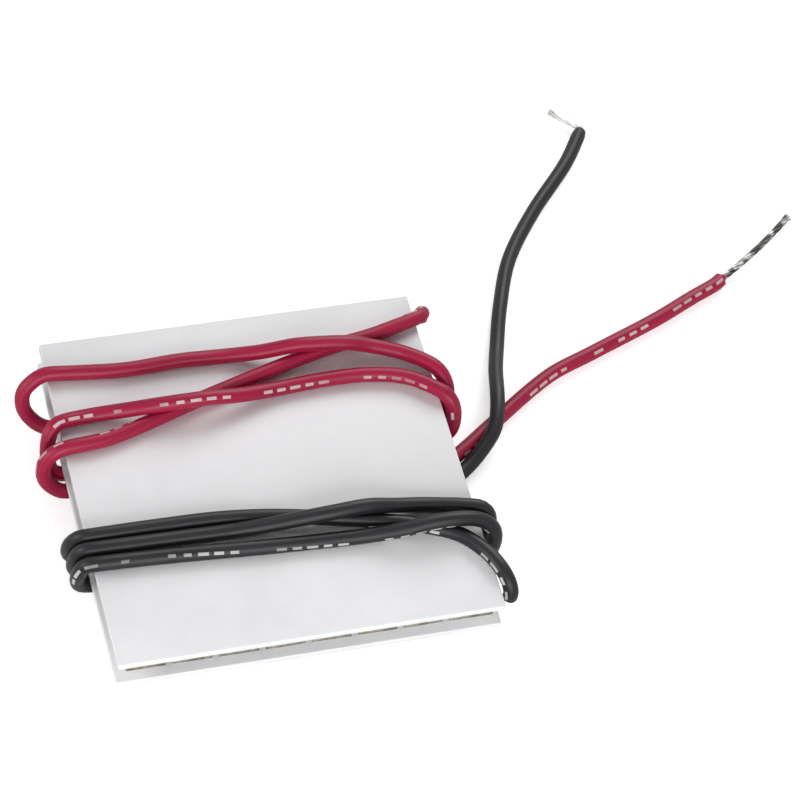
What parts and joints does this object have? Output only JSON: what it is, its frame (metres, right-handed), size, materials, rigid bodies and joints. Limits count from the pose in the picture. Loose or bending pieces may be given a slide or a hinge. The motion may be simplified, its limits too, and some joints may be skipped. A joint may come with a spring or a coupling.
{
  "type": "thermoelectric cooling module",
  "caption": "Square two-plate thermoelectric cooling module with rows of pellets between copper tabs and a red and a black lead wound around its plates.",
  "frame": {"origin": "centre of the module, midway between its two outer faces", "axes": "+Z out of the cold face, +X towards the edge that the leads come out of, +Y towards the red lead's terminal"},
  "size_m": [0.0915, 0.0677, 0.0104],
  "materials": {
    "alumina": "satin, bright white 96% alumina",
    "bismuth_telluride": "dull grey semiconductor",
    "tinned_copper": "satin, copper with a dull tin and solder coat",
    "solder": "satin silver",
    "tinned_strands": "satin, tinned copper strands",
    "red_pvc": "satin crimson PVC",
    "black_pvc": "satin black PVC"
  },
  "bodies": {
    "root": {"cold_ceramic": "alumina", "hot_ceramic": "alumina", "pellet_row_01": "bismuth_telluride", "pellet_row_02": "bismuth_telluride", "pellet_row_03": "bismuth_telluride", "pellet_row_04": "bismuth_telluride", "pellet_row_05": "bismuth_telluride", "pellet_row_06": "bismuth_telluride", "pellet_row_07": "bismuth_telluride", "pellet_row_08": "bismuth_telluride", "pellet_row_09": "bismuth_telluride", "pellet_row_10": "bismuth_telluride", "pellet_row_11": "bismuth_telluride", "pellet_row_12": "bismuth_telluride", "pellet_row_13": "bismuth_telluride", "pellet_row_14": "bismuth_telluride", "pellet_row_15": "bismuth_telluride", "pellet_row_16": "bismuth_telluride", "hot_tabs_row_01": "tinned_copper", "hot_tabs_row_02": "tinned_copper", "hot_tabs_row_03": "tinned_copper", "hot_tabs_row_04": "tinned_copper", "hot_tabs_row_05": "tinned_copper", "hot_tabs_row_06": "tinned_copper", "hot_tabs_row_07": "tinned_copper", "hot_tabs_row_08": "tinned_copper", "hot_tabs_row_09": "tinned_copper", "hot_tabs_row_10": "tinned_copper", "hot_tabs_row_11": "tinned_copper", "hot_tabs_row_12": "tinned_copper", "hot_tabs_row_13": "tinned_copper", "hot_tabs_row_14": "tinned_copper", "hot_tabs_row_15": "tinned_copper", "hot_tabs_row_16": "tinned_copper", "cold_tabs_row_01": "tinned_copper", "cold_tabs_row_02": "tinned_copper", "cold_tabs_row_03": "tinned_copper", "cold_tabs_row_04": "tinned_copper", "cold_tabs_row_05": "tinned_copper", "cold_tabs_row_06": "tinned_copper", "cold_tabs_row_07": "tinned_copper", "cold_tabs_row_08": "tinned_copper", "cold_tabs_row_09": "tinned_copper", "cold_tabs_row_10": "tinned_copper", "cold_tabs_row_11": "tinned_copper", "cold_tabs_row_12": "tinned_copper", "cold_tabs_row_13": "tinned_copper", "cold_tabs_row_14": "tinned_copper", "cold_tabs_row_15": "tinned_copper", "cold_tabs_row_16": "tinned_copper", "red_terminal_pad": "tinned_copper", "black_terminal_pad": "tinned_copper", "red_solder_joint": "solder", "black_solder_joint": "solder", "red_conductor": "tinned_strands", "black_conductor": "tinned_strands", "red_lead": "red_pvc", "black_lead": "black_pvc"}
  },
  "joints": []
}
